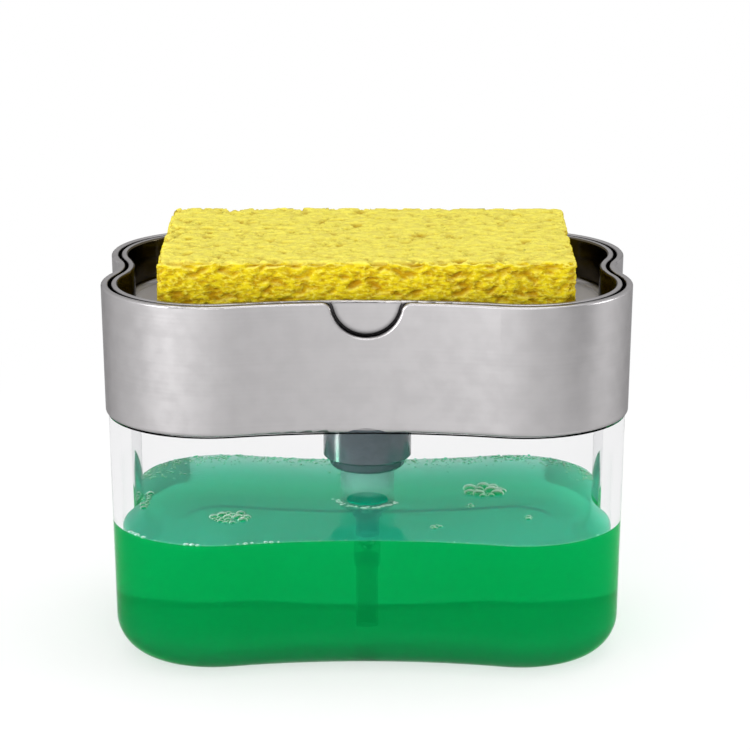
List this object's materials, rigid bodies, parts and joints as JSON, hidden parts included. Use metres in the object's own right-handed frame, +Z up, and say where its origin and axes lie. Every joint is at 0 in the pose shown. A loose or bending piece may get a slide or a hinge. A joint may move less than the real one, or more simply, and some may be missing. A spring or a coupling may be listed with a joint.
{
  "type": "soap pump caddy",
  "caption": "Countertop soap pump caddy: a lobed clear reservoir of green soap under a silver collar, whose sprung tray is pressed with the sponge to draw up soap.",
  "frame": {"origin": "middle of the base, at table height", "axes": "+X along the long side to the right, +Y to the back, +Z up; the finger notch faces -Y"},
  "size_m": [0.135, 0.09, 0.1065],
  "materials": {
    "clear_plastic": "clear moulded plastic, polished inside and out",
    "green_soap": "clear green washing-up liquid with a few bubbles on top",
    "satin_silver": "moulded plastic with a satin silver coat, finely brushed along the band",
    "slate_plastic": "smooth slate grey",
    "milky_plastic": "natural, milky and see-through",
    "white_plastic": "natural white moulding",
    "seal_rubber": "soft seal",
    "steel": "stainless wire and balls",
    "cellulose_sponge": "yellow cellulose with open pores"
  },
  "bodies": {
    "reservoir": {"reservoir": "clear_plastic", "soap_fill": "green_soap"},
    "head": {"collar": "satin_silver", "pump_nut": "slate_plastic", "pump_gasket": "seal_rubber", "pump_cylinder": "milky_plastic", "stem_guide": "slate_plastic", "ball_cage": "white_plastic", "dip_tube": "milky_plastic", "return_spring": "steel"},
    "plunger": {"pump_stem": "white_plastic", "piston": "white_plastic", "stem_seal": "seal_rubber", "ball_retainer": "white_plastic"},
    "tray": {"tray": "satin_silver", "soap_outlet": "satin_silver"},
    "sponge": {"sponge": "cellulose_sponge"},
    "inlet_ball": {"inlet_ball": "steel"},
    "outlet_ball": {"outlet_ball": "steel"}
  },
  "joints": [
    {"name": "head_lift", "type": "slide", "parent": "reservoir", "child": "head", "axis": [0, 0, 1], "range_m": [0, 0.068]},
    {"name": "tray_press", "type": "slide", "parent": "head", "child": "plunger", "axis": [0, 0, -1], "range_m": [0, 0.008], "stiffness_N_per_m": 600, "springref_m": -0.012, "deforming": ["return_spring"]},
    {"name": "tray_lift", "type": "slide", "parent": "plunger", "child": "tray", "axis": [0, 0, 1], "range_m": [0, 0.03]},
    {"name": "sponge_lift", "type": "slide", "parent": "tray", "child": "sponge", "axis": [0, 0, 1], "range_m": [0, 0.025]},
    {"name": "inlet_ball_lift", "type": "slide", "parent": "head", "child": "inlet_ball", "axis": [0, 0, 1], "range_m": [0, 0.0012]},
    {"name": "outlet_ball_lift", "type": "slide", "parent": "plunger", "child": "outlet_ball", "axis": [0, 0, 1], "range_m": [0, 0.0012]}
  ]
}
